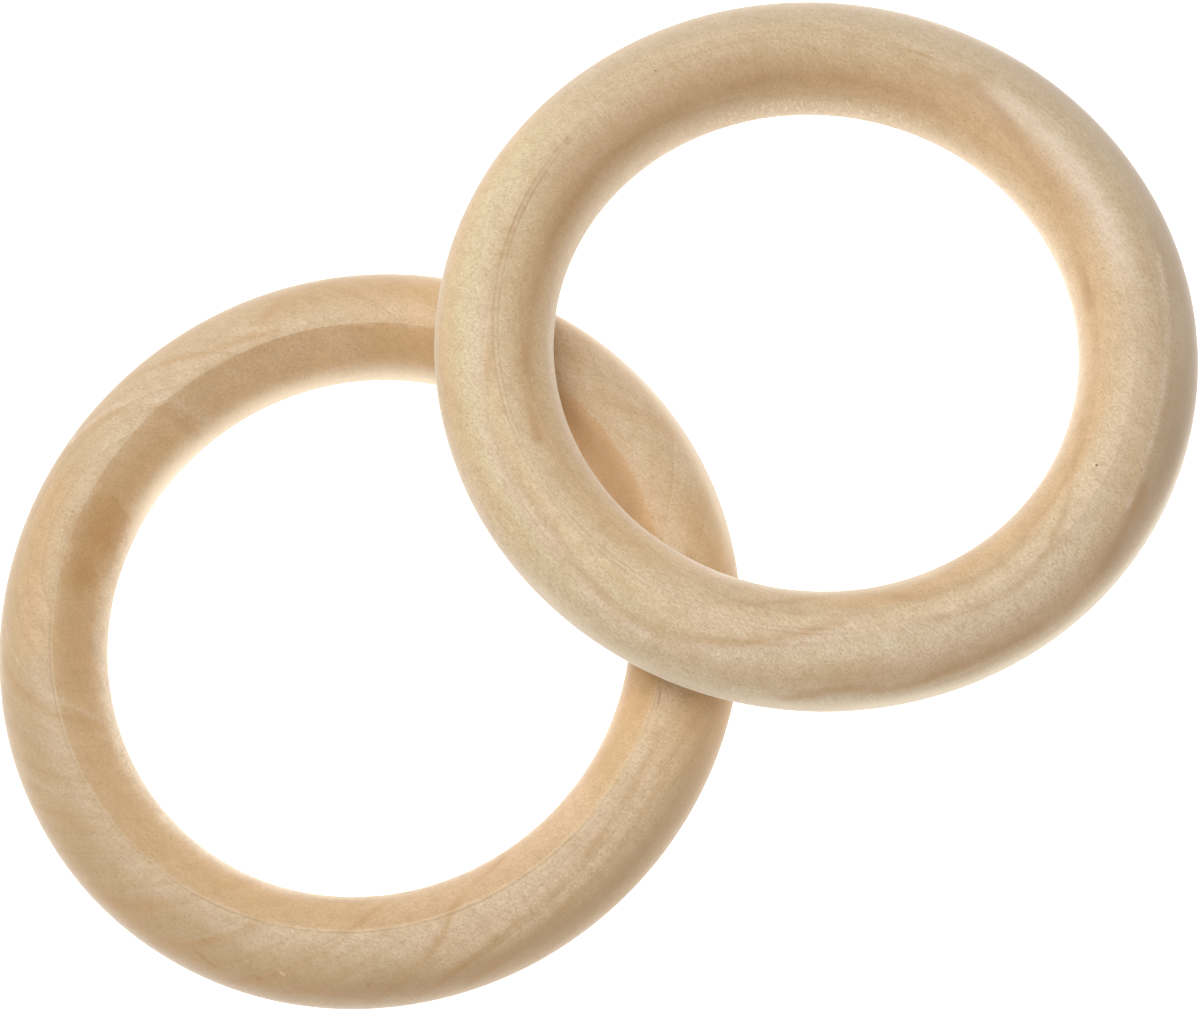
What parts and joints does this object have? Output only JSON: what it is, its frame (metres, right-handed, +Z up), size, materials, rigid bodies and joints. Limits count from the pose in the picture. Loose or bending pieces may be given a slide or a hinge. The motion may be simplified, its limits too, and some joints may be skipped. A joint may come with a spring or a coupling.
{
  "type": "gymnastics rings",
  "caption": "Plain round turned wooden gymnastics rings with a rounded hand grip, lying loose: the upper ring leans on the lower ring.",
  "frame": {"origin": "middle of the pair's footprint, at the height of the surface that the rings lie on", "axes": "+X along the pair, from the flat lower ring to the far rim of the leaning upper ring; +Z up, the flat lower ring's own axis"},
  "size_m": [0.3048, 0.18, 0.0524],
  "materials": {
    "lower_ring_wood": "bare, fine sanded, matte, close pored pale hardwood",
    "upper_ring_wood": "bare, fine sanded, matte, close pored pale hardwood"
  },
  "bodies": {
    "lower_ring": {"lower_ring": "lower_ring_wood"},
    "upper_ring": {"upper_ring": "upper_ring_wood"}
  },
  "joints": [
    {"name": "upper_ring_tip", "type": "hinge", "parent": "lower_ring", "child": "upper_ring", "pos_m": [0.1403, 0, 0.01225], "axis": [0, 1, 0], "range_deg": [0, 169.5]}
  ]
}
